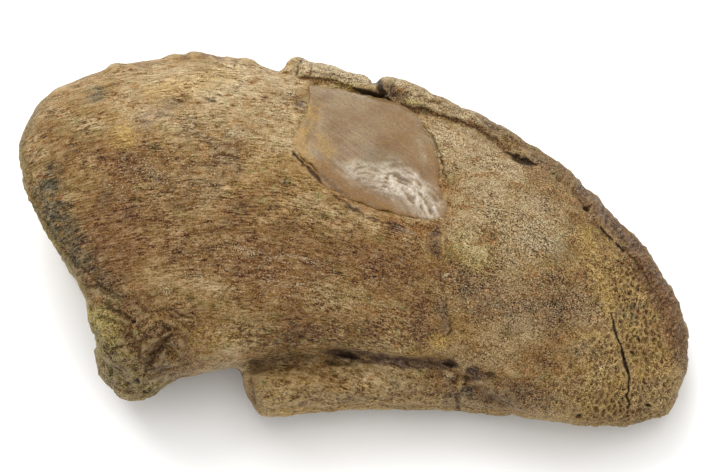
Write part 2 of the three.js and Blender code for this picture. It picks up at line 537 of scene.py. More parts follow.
def soften(mesh: bpy.types.Mesh, rounds: int) -> None:
    """Smooth a mesh's corners, and swell it back after each round so that it keeps its size.

    Args:
        mesh: The mesh to smooth.
        rounds: How many times.
    """
    skin = Skin(mesh)
    for _ in range(rounds):
        for share in (0.6, -0.62):
            skin.places += share * (neighbour_mean(mesh, skin.places, 1) - skin.places)
    skin.refresh()


def hand_over(
    piece: bpy.types.Object, finish: bpy.types.Material, node: str
) -> None:
    """Give a finished mesh its material and its place in the frame.

    Args:
        piece: The mesh's object.
        finish: Its material.
        node: The frame solid that it stands for.
    """
    for face in piece.data.polygons:
        face.use_smooth = True
    piece.data.materials.clear()
    piece.data.materials.append(finish)
    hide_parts(node)
    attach(piece, "root")


# ------------------------------------------------------------------ the bone


@dataclass
class ClawBone:
    """The claw bone: its mesh carved from the frame's solid, and its finish.

    Attributes:
        name: The piece's name.
        node: The frame solid that it stands for.
        voxel: The mesh's squares before the flank is cut finer, in millimetres.
        grain_middle: The point that the grain's arcs run round, seen from above.
        grain_radius: The radius at which the grain's length is measured.
        back_rim: The strip of rim along the back, on the flank's plane.
        back_of_tip: The smoother strip along the back of the tip, on the flank's plane.
        cells_from: Where along the claw the mesh is cut fine for the tip's cells.
        pulls: Where the outline is fuller or leaner than the solid's.
        cuts: The cracks, grooves and ridges.
        dents: The hollows and lumps.
        stains: The colours soaked into the bone.
        reliefs: The layers of lumps worn into it.
        band_height: How high the ridges on the back of the tip stand.
        cell_depth: How deep the tip's cells are.
        swirl_depth: How deep the knob's scars are.
        pit_depth: How deep the vessel pits are where they cluster.
        scar_depth: How much deeper they are where the surface is scarred.
        chip_depth: How deep the sharp edges are chipped.
    """

    name: str = "claw_bone_surface"
    node: str = "claw_bone"
    voxel: float = 1.3
    grain_middle: tuple[float, float] = (-28.0, -120.0)
    grain_radius: float = 130.0
    back_rim: Points = ((-12, 42.5), (4, 39.5), (14, 36), (30, 30.5), (44, 22.5))
    back_of_tip: Points = ((53, 17), (64, 7), (73, -5), (79, -18), (82, -30))
    cells_from: float = 66.0

    band_height: float = 0.4
    cell_depth: float = 0.45
    swirl_depth: float = 0.5
    pit_depth: float = 0.22
    scar_depth: float = 0.25
    chip_depth: float = 0.7

    reliefs: tuple[Relief, ...] = (
        Relief((26, 22, 22), 2, 1, 0.5),
        Relief(
            (5.5, 4.5, 4.5), 3, 2, 0.28,
            ((Zone.TIP, 0.35), (Zone.KNOB, 0.45), (Zone.LIP, 0.4), (Zone.RIM, 0.35)),
        ),
        Relief((9, 1.4, 1.8), 3, 3, 0.06, ((Zone.FIBROUS, 0.1),), on_grain=True),
        Relief(
            (1.5, 1.3, 1.3), 2, 4, 0.1,
            ((Zone.KNOB, 0.12), (Zone.LIP, 0.1), (Zone.RIM, 0.1), (Zone.TIP, 0.1)),
        ),
    )
    pulls: tuple[Pull, ...] = (
        Pull((-66, -17), (16, 13), (2.2, 0)),
        Pull((-31, 43.5), (18, 9), (0, 1.3)),
        Pull((-74, 36), (10, 8), (-0.8, 0.4)),
        Pull((51.5, 18), (9, 9), (1.0, 1.0)),
        Pull((66, 4), (10, 10), (-0.7, -0.6)),
        Pull((5.0, 41.4), (1.9, 4), (0, -1.8)),
    )
    cuts: tuple[Furrow, ...] = (
        # The line that parts the back rim from the flank, with its cavity and its pocket.
        # Its umber stain is painted shade in the groove; the cavity and the pocket below it are
        # darkened with grime and painted shade.
        Furrow(
            [(-14, 40.2), (-8.5, 39.5), (-3.6, 38.5), (0.9, 37), (4.8, 35.3), (8.3, 33.8),
             (11.3, 33), (15.7, 32.3), (20.2, 31), (24.1, 29.8), (28.1, 28.6), (31.8, 26.8),
             (35.5, 24.4), (38, 22.1), (40, 20.4), (42.9, 18.9), (45.4, 18.2)],
            0.9, 0.9, 0.8, 0.9, 0.6, 0.02, Mark.UMBER, 1.0,
        ),
        Furrow([(-1.1, 38), (4.3, 35.9), (7.8, 34.6), (11.3, 33.3)], 1.1, 1.6, 0.7, fade=0.3),
        Furrow(
            [(37.2, 22.1), (40.5, 20.2), (43.4, 19.1), (45.9, 18.4)],
            0.7, 1.3, 0.8, 0.9, 0.6, 0.3,
        ),
        # The notch that breaks the rim, and the split layers at the rim's broken end.
        Furrow(
            [(5.4, 42), (5.8, 40), (6.6, 37.6), (7.6, 35.6)],
            1.1, 2.2, 0.8, fade=0.02, stain=0.8,
        ),
        Furrow([(-13.2, 45), (-13.7, 43), (-14.4, 40.6)], 0.5, 0.7, 1, 0.9, 0.6, 0.02, stain=0.3),
        Furrow([(-10.4, 44), (-10.8, 42), (-11, 40.4)], 0.4, 0.4, fade=0.02, stain=0.3),
        Furrow([(-12, 41.9), (-6, 41), (-1, 39.8)], 0.4, 0.4, ragged=0.9, wander=0.5, stain=0.3),
        Furrow([(13, 36.4), (20, 34), (28, 31)], 0.5, 0.4, ragged=0.9, wander=0.8, stain=0.3),
        # The edge of the smoother strip along the back of the tip, with two slits.
        Furrow(
            [(47.4, 17.7), (50.8, 14.7), (54.3, 11.8), (56.8, 8.5), (60.7, 2.8), (63.7, -0.6),
             (67.2, -2.8), (70.6, -7.5), (73.1, -11.3), (74.3, -15)],
            0.6, 0.45, ragged=0.9, wander=0.8, stain=0.25,
        ),
        Furrow([(60.7, 3.3), (62.2, 1.4), (64, -0.4)], 0.35, 0.9),
        Furrow([(64.8, -1.2), (66.7, -3.1)], 0.35, 0.9),
        # The crack across the tip.
        Furrow(
            [(62.5, -17.4), (63.5, -20.4), (64.2, -23.6), (65.2, -26.1), (65.9, -28.3),
             (66.2, -30.6), (66.9, -32.8), (67.2, -36.7), (66.7, -38.2), (67.2, -40.2),
             (66.7, -43.5)],
            0.28, 1.4, ragged=0.9, wander=0.4, fade=0.12, stain=1,
        ),
        Furrow([(65.4, -27.1), (65.9, -28.8), (66.7, -31.3), (67.2, -33.3)], 0.42, 1.6, stain=1),
        # The mended break that runs from the repair to the lip, its right side a little proud.
        Furrow(
            [(20.4, 3.4), (19.6, -0.1), (19.4, -3.1), (20.9, -5.6)],
            1.2, 0.5, wander=0.8, fade=0.25, mark=Mark.PLUM,
        ),
        # The raised strips beside the break are stained gold, partly a painted highlight along
        # their crests.
        Furrow([(22, 3), (21.6, -1), (22, -4.6)], 0.6, -0.4, wander=0.6, mark=Mark.GOLD, stain=0.6),
        Furrow(
            [(17.4, 2), (17, -2.4), (18.6, -6)],
            0.5, -0.3, wander=0.6, mark=Mark.GOLD, stain=0.5,
        ),
        Furrow(
            [(20.9, -5.6), (21.4, -10), (22.4, -15), (22.9, -19.4), (23.4, -23.6), (23.4, -28)],
            0.6, 0.4, ragged=0.9, wander=0.9, stain=0.15,
        ),
        Furrow(
            [(24.6, -3), (24.4, -9), (25, -15), (25.6, -21), (26, -27)],
            2.2, -0.35, 0.8, wander=0.8, mark=Mark.GOLD, stain=0.15,
        ),
        Furrow(
            [(20.4, -13), (21.4, -18), (22.6, -24)],
            1.0, -0.3, wander=0.8, mark=Mark.PLUM, stain=0.8,
        ),
        Furrow([(25, -37.5), (25.6, -40), (25.9, -43)], 0.7, 1.0, fade=0.05, stain=0.5),
        # The rim of the joint face, seen edge on.
        Furrow(
            [(-80.5, 19.9), (-78.8, 14.7), (-77.8, 8.8), (-74.3, 2.8), (-72.4, -0.1),
             (-69.9, -3.1), (-66.9, -6.1), (-63.5, -9.3), (-60, -12.5), (-57, -15.5)],
            0.7, 0.4, ragged=0.9, wander=1.0, stain=0.3,
        ),
        # The scarred knob: its cleft, its swirls and its ridges.
        # The cleft and the furrows beside it are darkened with grime and painted shade under their
        # overhangs.
        Furrow(
            [(-41.7, -22.6), (-44.2, -23.4), (-46.1, -24.9), (-47.6, -26.8), (-48.9, -29.3),
             (-50.1, -31.8), (-50.8, -34.5)],
            1.6, 1.5, 0.8, wander=0.6, fade=0.3, stain=0.45,
        ),
        Furrow(
            [(-62, -15), (-58.5, -16.5), (-55, -18.4), (-52.6, -20.2)],
            0.9, 0.7, ragged=0.9, wander=1.0, fade=0.4, stain=0.4,
        ),
        Furrow(
            [(-58, -21.2), (-54.3, -23.1), (-52.3, -26.1), (-51.8, -29.8)],
            1.2, 0.8, wander=0.8, fade=0.3, stain=0.3,
        ),
        Furrow([(-61, -18), (-57, -18.6), (-54.1, -20.5)], 1.1, -0.9, mark=Mark.OLIVE, stain=0.5),
        Furrow(
            [(-51.5, -22.5), (-48.8, -20.2), (-46.4, -19.4), (-43, -20.8), (-39.5, -23.5)],
            1.2, -1.0, wander=0.5, mark=Mark.GOLD, stain=0.4,
        ),
        Furrow(
            [(-49, -17.5), (-45, -17), (-41, -18.6), (-37, -19)],
            0.6, 0.45, ragged=0.9, wander=0.8, fade=0.4, stain=0.25,
        ),
        Furrow([(-60.6, -26), (-57.5, -29), (-56.6, -33)], 1.2, 0.5, wander=0.8, stain=0.2),
        Furrow([(-66, -11), (-61, -11.6), (-56, -14.6)], 1.0, 0.5, wander=1.0, fade=0.4, stain=0.3),
        # The dark line beside the repair's right edge, and the crack off its left corner.
        Furrow(
            [(16.2, 29.6), (18.6, 26.4), (20.8, 22.6), (22.2, 17), (22.8, 12)],
            0.45, 0.5, ragged=0.9, wander=0.7, fade=0.3, stain=0.5,
        ),
        Furrow(
            [(-15, 21.6), (-11.6, 17.6), (-6.6, 13)],
            0.45, 0.7, ragged=0.9, wander=0.6, stain=0.8,
        ),
        Furrow(
            [(-6, 12), (-1, 8), (4, 5), (10, 2.6)],
            0.35, 0.4, ragged=0.9, wander=0.8, stain=0.5,
        ),
        # Short splits in the outer layer near the back.
        Furrow([(-45.5, 34.6), (-43, 34.1), (-41, 33)], 0.45, 0.6, 1, 0.9, 0.6, 0.4, stain=0.5),
        Furrow([(-37.4, 34.6), (-35, 34.1), (-33, 33.6)], 0.45, 0.6, 1, 0.9, 0.6, 0.4, stain=0.5),
        Furrow([(-32.2, 20.6), (-30, 20), (-27.3, 19.6)], 0.5, 0.5, 1, 0.9, 0.6, 0.4, stain=0.4),
        # The smooth floor under the flank's lower edge, and the slot that runs on from it.
        Furrow([(-26, -27.2), (-16, -27), (-6, -27), (3, -27.4)], 0.6, 0.3, 0.8, stain=0.2),
        Furrow(
            [(-8, -27.6), (-1, -28.4), (6, -29.3), (14, -30.1), (21, -30.6), (26, -31)],
            1.5, 0.8, 0.5, ragged=0.4, wander=0.3, mark=Mark.PLUM, stain=1,
        ),
        Furrow(
            [(2, -28.4), (8, -29.1), (14, -29.7), (21, -30.3)],
            0.4, 0.3, ragged=0.9, wander=0.5, stain=0.35,
        ),
        # The slot's deep spots are darkened with grime and painted shade under the flank's
        # overhang.
        Furrow([(-5, -28.2), (-1.6, -28.6), (2, -29.2)], 0.9, 1.4, 0.7, fade=0.4, stain=1),
        # The raised edge over the slot is stained gold, a painted highlight on that edge.
        Furrow(
            [(2, -26.4), (12, -27.8), (22, -28.6)],
            0.5, -0.35, wander=0.3, mark=Mark.GOLD, stain=0.4,
        ),
        Furrow([(21, -30), (25.8, -30.6)], 1.0, 1.6, 0.7, fade=0.4, stain=0.6),
        Furrow([(31.5, -32.4), (35.5, -33.6)], 0.9, 0.8, fade=0.4, stain=0.6),
    )
    dents: tuple[Dent, ...] = (
        Dent((29, -33), (3.2, 2.6), 0.7, mark=Mark.PLUM, stain=1),
        Dent((28, -37.6), (1.8, 2.6), 0.3, turn=15, mark=Mark.SLATE, stain=0.7),
        Dent((26.1, -35), (0.9, 2.0), -0.7, turn=-25, mark=Mark.GOLD, stain=1),
        Dent((8.8, 39), (1.6, 1.2), -0.8, stain=0),
        Dent((9.6, 36.6), (3.0, 1.6), 0.5, turn=-25, mark=Mark.PLUM, stain=1),
        Dent((-53.1, -19.9), (0.6, 0.45), 1.4, turn=30, stain=1),
        Dent((-44.4, -28.2), (1.8, 3.0), 0.8, turn=10, mark=Mark.GOLD),
        Dent((-41.7, -25.2), (1.0, 1.8), -0.4, turn=20, mark=Mark.RUST),
        Dent((57.6, 7.6), (1.3, 0.9), 1.0, turn=-40),
        Dent((68.2, -27.9), (0.5, 0.9), 1.2, turn=30, stain=1),
        Dent((69.6, -24.6), (0.45, 1.0), 1.0, turn=30, stain=1),
        Dent((71.9, -40.7), (1.1, 0.4), 1.0, turn=-15, stain=1),
        Dent((55, -43.3), (0.7, 0.5), 0.9, stain=1),
        Dent((-52.9, -34.5), (0.6, 1.2), 1.0, turn=10, stain=1),
        Dent((-51.2, -37.6), (0.7, 0.6), 0.8, stain=1),
        Dent((-24, -31), (3.2, 2.4), 0.5, mark=Mark.PLUM, stain=0.35),
        # Knuckles along the back of the joint end.
        Dent((-59.6, 42.6), (2.2, 1.8), -0.8, stain=0),
        Dent((-45, 45.6), (2.6, 1.6), -0.6, stain=0),
        Dent((-39.5, 46.2), (3.0, 2.0), -0.8, stain=0),
        Dent((-26.4, 44.4), (3.0, 1.8), -0.9, stain=0),
        Dent((-52.5, 43.4), (3.0, 1.6), 0.6, stain=0),
        Dent((-33.5, 45.6), (2.2, 1.4), 0.6, stain=0),
        Dent((23.6, -33.2), (1.2, 0.9), -0.4, mark=Mark.PALE, stain=0.9),
    )
    stains: tuple[Stain, ...] = (
        # Umber patches darken the middle and lower flank; along the back groove they are painted
        # shade.
        Stain(Mark.UMBER, (
            ([(-80, 12), (-50, 1), (-10, -5), (18, -10)], 12.0, 0.9),
            ([(-52, -12), (-20, -20), (2, -22)], 7.0, 0.8), ([(-46, -2), (-30, -5)], 5.0, 1.0),
            ([(-74, 26), (-58, 18), (-48, 16)], 7.0, 0.7), ([(-72, 6), (-62, -8)], 7.0, 1.0),
            ([(-58, -32), (-53, -37)], 4.0, 0.7), ([(-14, -32), (0, -33)], 3.0, 0.6),
            ([(28.4, -32), (32, -34)], 2.2, 1.0), ([(-52, -28), (-45, -30)], 5.5, 0.6),
            ([(7.6, 37.8), (12, 35.4)], 1.8, 1.0), ([(26, -18), (42, -27)], 5.0, 0.6),
            ([(34, -8), (48, -18)], 6.0, 0.5), ([(26, -30), (46, -26)], 5.0, 0.6),
            ([(-24, -38), (44, -38)], 4.5, 0.6), ([(-44, -22), (-56, -30)], 9.0, 0.5),
            ([(14, 37.5), (30, 31), (44, 23), (52, 17)], 2.2, 0.4),
            ([(56, 15), (64, 7), (72, -5), (78, -16), (81, -28)], 4.0, 0.6),
            ([(-72, 4), (-68, -2)], 4.0, 1.0),
            ([(-80, 33), (-83, 24), (-83, 14), (-77, 3)], 3.6, 1.0),
        )),
        Stain(Mark.SLATE, (
            ([(-63.8, 35.6)], 2.6, 0.6),
            ([(-74.5, 13), (-73, 6), (-69.5, 1), (-66, -4)], 4.2, 1.0),
            ([(-82, 32), (-83, 20), (-80.5, 10)], 2.4, 0.8), ([(-70, 0), (-60, -14)], 4.0, 0.5),
            ([(68, -18)], 3.4, 0.8), ([(44, 2), (50, -4)], 4.0, 0.35),
            ([(54, -27), (60, -28)], 2.4, 0.4), ([(55, 20), (66, 6)], 1.6, 0.5),
            ([(-9, -37.5), (2, -39.5)], 1.8, 0.6), ([(10, -35.5), (14, -36.4)], 1.8, 0.6),
        )),
        Stain(Mark.GOLD, (
            ([(-56, 25.4)], 3.4, 0.9), ([(-50, 36), (-30, 41)], 2.4, 0.5),
            ([(57, 1), (60, -9), (63, -16)], 2.6, 0.8),
            ([(-23, -39), (0, -38), (20, -39)], 3.2, 0.55), ([(21.2, -25)], 2.2, 1.0),
            ([(68, -28), (78, -34)], 6.0, 0.5),
            ([(-22, -42), (0, -42), (26, -42.5), (45, -44), (60, -45.5)], 2.6, 0.8),
            ([(-38, -24), (-30, -24)], 3.2, 0.45),
        )),
        Stain(Mark.WORN, (
            ([(-12, 43), (4, 40.5), (14, 36.8), (30, 30.5)], 2.6, 1.0),
            ([(-52, 36), (-22, 32)], 8.0, 0.4), ([(72, -39), (79, -36)], 4.0, 0.6),
            ([(-20, -40), (17, -39.5), (30, -41)], 2.5, 0.6),
            ([(24, 27), (34, 17), (30, 8)], 7.0, 0.5), ([(34, 10), (47, 4)], 7.0, 0.45),
            ([(25, 3), (30, -3)], 3.5, 0.6), ([(-30, 42), (-16, 40)], 4.0, 0.6),
        )),
        Stain(Mark.RUST, (
            ([(-61, 22), (-56, 12)], 2.6, 0.6), ([(-60, 2), (-35, -4), (-14, -8)], 7.0, 0.6),
            ([(0, -2), (14, -10)], 6.0, 0.45),
            ([(58, 11), (66, 3), (73, -5), (78, -16), (80, -26)], 3.4, 0.8),
            ([(20.5, 15), (22.8, 11), (23, 5)], 1.8, 1.0), ([(-26, -12), (-10, -16)], 4.0, 0.35),
            ([(-12, 19.4), (-4, 12.2), (7, 6), (16, 1.6), (22, 3)], 2.0, 1.0),
        )),
        Stain(Mark.OLIVE, (
            ([(27, -1), (30, -4)], 3.6, 0.8),
            ([(-80, 33), (-83, 24), (-83, 14), (-77, 3), (-70, -9), (-64, -20)], 2.6, 1.0),
            ([(-62, -20), (-60, -28), (-56, -36), (-50, -38)], 5.5, 0.9),
            ([(-3.5, 38.5), (1, 37.5)], 1.2, 1.0), ([(12, 35), (16, 33.6)], 0.9, 0.9),
            ([(-20, -41), (0, -41), (22, -41)], 2.4, 0.5),
        )),
        Stain(Mark.PLUM, (
            ([(-52, 28), (-46, 32)], 3.0, 0.5), ([(-40, 26), (-30, 18), (-44, 12)], 4.5, 0.4),
            ([(-60, 10)], 3.0, 0.5), ([(28, -13), (40, -17), (54, -17)], 5.0, 0.5),
            ([(-25, -29.6), (-14, -29), (-5, -29)], 1.6, 0.5), ([(-13, 33)], 1.5, 1.0),
            ([(7.6, 37.8), (11.6, 35.6)], 1.7, 1.0), ([(19.2, -2)], 1.6, 0.9),
            ([(56, 13), (70, -2)], 1.6, 0.5), ([(-1.6, 8.6), (1, 7.4)], 1.0, 0.9),
            ([(9.6, 3.4), (14, 1.4)], 1.0, 0.9),
        )),
        Stain(Mark.PALE, (
            ([(-39.6, 37), (-36.6, 36)], 0.6, 0.7), ([(-17, 37), (-14.6, 35.8)], 0.8, 0.9),
            ([(-31, 26.5), (-27, 25.6)], 0.7, 0.6), ([(-50, 17), (-47, 14)], 1.6, 0.3),
            ([(-29, -2), (-25, -3.4)], 1.0, 0.45), ([(-46.5, -11.5), (-45, -13)], 1.0, 0.5),
            ([(-16.9, -36.8)], 1.2, 0.5),
            ([(-21, -4.8), (-17, -3.8), (-13, -4.4), (-9, -6)], 0.3, 0.8),
            ([(-22, -9.6), (-17, -11.2), (-12, -11)], 0.3, 0.8), ([(1, 5), (6, 3)], 0.6, 0.5),
            ([(58.5, 5.6)], 0.7, 1.0), ([(22.6, -33), (24, -33.6)], 0.8, 1.0),
            ([(22.4, -8.8)], 0.7, 0.9),
        )),
        # The pale flecks are thick here, as painted highlight specks.
        Stain(Mark.FLECKED, (
            ([(-52, 18), (-30, 22)], 9.0, 0.8), ([(-28, 34), (-14, 30)], 6.0, 0.8),
            ([(26, 28), (42, 10)], 8.0, 1.0), ([(-36, -4), (0, -12)], 8.0, 0.6),
            ([(26, -12), (58, -17)], 7.0, 1.0),
        )),
        Stain(Mark.POROUS, (
            ([(-23, -38), (45, -40)], 4.5, 1.0), ([(-58, -30), (-50, -36)], 9.0, 1.0),
            ([(-38, -23), (20, -24)], 4.5, 0.8), ([(60, -30), (74, -30)], 10.0, 0.35),
        )),
    )

    def build(self) -> bpy.types.Object:
        """Make the carved mesh.

        Returns:
            The finished object, before its finish.
        """
        piece = copy_node(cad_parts[self.node], self.name)
        even_out(piece, self.voxel)
        soften(piece.data, 5)
        refine(piece.data, self.on_flank)
        soften(piece.data, 2)
        refine(piece.data, self.near_a_cut)
        soften(piece.data, 1)
        skin = Skin(piece.data)
        for pull in self.pulls:
            pull.carve(skin)
        skin.refresh()
        self.weather(skin)
        for cut in (*self.cuts, *self.dents):
            cut.carve(skin)
        skin.places[:, 2] = np.maximum(skin.places[:, 2], 0)
        skin.refresh()
        uneven = rough(skin.places, (5, 4, 4), 4, seed=21)
        for stain in self.stains:
            stain.lay(skin, uneven)
        self.note_relief(skin)
        skin.write_marks()
        self.lay_grain(skin)
        return piece

    def on_flank(self, middles: Array, normals: Array) -> Array:
        """Say which faces look out of the flank."""
        return normals @ FLANK_OUT > 0.2

    def near_a_cut(self, middles: Array, normals: Array) -> Array:
        """Say which faces have a crack run through them or lie on the pitted tip."""
        places = np.column_stack([middles[:, 0], middles @ FLANK_UP - FLANK_MIDDLE])
        chosen = np.zeros(len(middles), bool)
        for cut in self.cuts:
            gap, _ = distance_to_line(places, smooth_line(cut.line, 3))
            chosen |= gap < 0.6 + cut.half_width / 2
        chosen |= places[:, 0] - TIP_LEAN * places[:, 1] > self.cells_from
        return chosen & (normals @ FLANK_OUT > 0.2)

    def grain(self, skin: Skin) -> Array:
        """Give each corner's place along, across and through the grain."""
        east = skin.places[:, 0] - self.grain_middle[0]
        north = skin.places[:, 1] - self.grain_middle[1]
        along = np.arctan2(east, north) * self.grain_radius
        return np.column_stack([along, np.hypot(east, north), skin.places[:, 2]])

    def zones(self, skin: Skin) -> dict[Zone, Array]:
        """Say how far each corner belongs to each part of the bone, from 0 to 1."""
        flank = skin.flank()
        east, up = flank.T
        band, _ = distance_to_line(flank, np.array(self.back_of_tip))
        rim, _ = distance_to_line(flank, np.array(self.back_rim))
        return {
            Zone.FIBROUS: step_up(east, 45, -5),
            Zone.TIP: step_up(east - TIP_LEAN * up, 52, 74),
            Zone.BAND: step_up(band, 5.5, 3.5),
            Zone.KNOB: step_up(np.hypot(east + 54, up + 29), 22, 10),
            Zone.LIP: step_up(up, -29, -33) * step_up(np.abs(east - 5), 45, 30),
            Zone.RIM: step_up(rim, 4, 2),
            Zone.SCARRED: step_up(np.hypot((east + 36) / 20, (up - 22) / 14), 1, 0.3),
        }

    def weather(self, skin: Skin) -> None:
        """Wear the even surface into an old bone's.

        Args:
            skin: The surface to carve.
        """
        grain, zones = self.grain(skin), self.zones(skin)
        east, up = skin.flank().T
        move = sum(relief.heights(skin.places, grain, zones) for relief in self.reliefs)
        slanting = np.column_stack([east + 0.8 * up, 0.8 * east - up, skin.places[:, 2]])
        move += self.band_height * zones[Zone.BAND] * rough(slanting, (5, 1.3, 2.4), 3, seed=16)
        pitted = zones[Zone.TIP] * (1 - zones[Zone.BAND])
        cell = pitted * self.cells(skin.places, pitted > 0)
        move -= self.cell_depth * cell
        swirl = np.abs(rough(skin.places, (7, 5, 5), 2, seed=7))
        move -= self.swirl_depth * zones[Zone.KNOB] * step_up(swirl, 0.3, 0.05)
        pit = step_up(rough(grain, (2.0, 1.0, 1.0), 2, seed=8), 0.3, 0.6)
        cluster = step_up(rough(skin.places, (14, 9, 9), 2, seed=9), -0.1, 0.35)
        move -= (self.pit_depth * cluster + self.scar_depth * zones[Zone.SCARRED]) * pit
        edge = self.standing_out(skin, 12)
        chips = rough(skin.places, (3.4, 2.6, 2.6), 3, seed=10)
        move -= self.chip_depth * step_up(edge, 0.3, 1.2) * step_up(chips, 0, 0.5)
        skin.places += skin.outward * move[:, None]
        skin.refresh()
        skin.mark(Mark.UMBER, 0.4 * zones[Zone.KNOB] * step_up(swirl, 0.16, 0.02))
        skin.mark(Mark.UMBER, 0.15 * cell)
        skin.mark(Mark.GOLD, 0.8 * (pitted - cell))
        skin.mark(Mark.POROUS, 0.25 + 0.1 * zones[Zone.TIP])
        fibrous = zones[Zone.FIBROUS] * (1 - zones[Zone.KNOB]) * (1 - zones[Zone.RIM])
        skin.mark(Mark.FIBROUS, fibrous)

    def cells(self, places: Array, wanted: Array) -> Array:
        """Lay out the tip's honeycomb of shallow upright cells.

        Args:
            places: One row a corner, in millimetres.
            wanted: Which corners are on the tip.

        Returns:
            For each corner, 0 on the cells' walls and 1 in their hollows.
        """
        bent = places[wanted] + 0.4 * rough(places[wanted], (3, 3, 3), 2, seed=17)[:, None]
        gaps = [noise.voronoi(Vector(p))[0] for p in bent / np.array([1.3, 2.0, 2.0])]
        hollow = np.zeros(len(places))
        hollow[wanted] = step_up(np.array([gap[1] - gap[0] for gap in gaps]), 0.04, 0.4)
        return hollow

    def standing_out(self, skin: Skin, rounds: int) -> Array:
        """Measure how far each corner stands out from its neighbourhood."""
        mean = neighbour_mean(skin.mesh, skin.places, rounds)
        return np.einsum("ij,ij->i", skin.places - mean, skin.outward)

    def note_relief(self, skin: Skin) -> None:
        """Mark the hollows, darkened with grime and painted shade, and the rubbed high spots.

        Args:
            skin: The carved surface.
        """
        relief = self.standing_out(skin, 5)
        skin.mark(Mark.HOLLOW, step_up(-relief, 0.02, 0.2))
        skin.mark(Mark.RIDGE, step_up(relief, 0.02, 0.2))

    def lay_grain(self, skin: Skin) -> None:
        """Store the grain's own coordinates, in millimetres, for the finish.

        Args:
            skin: The carved surface.
        """
        layer = skin.mesh.attributes.new("grain", "FLOAT_VECTOR", "POINT")
        layer.data.foreach_set("vector", self.grain(skin).astype(np.float32).ravel())

    def dress(self, piece: bpy.types.Object) -> None:
        """Give the bone its finish and its place in the frame."""
        hand_over(piece, FossilBone().make(), self.node)


# ------------------------------------------------------------------ the repair


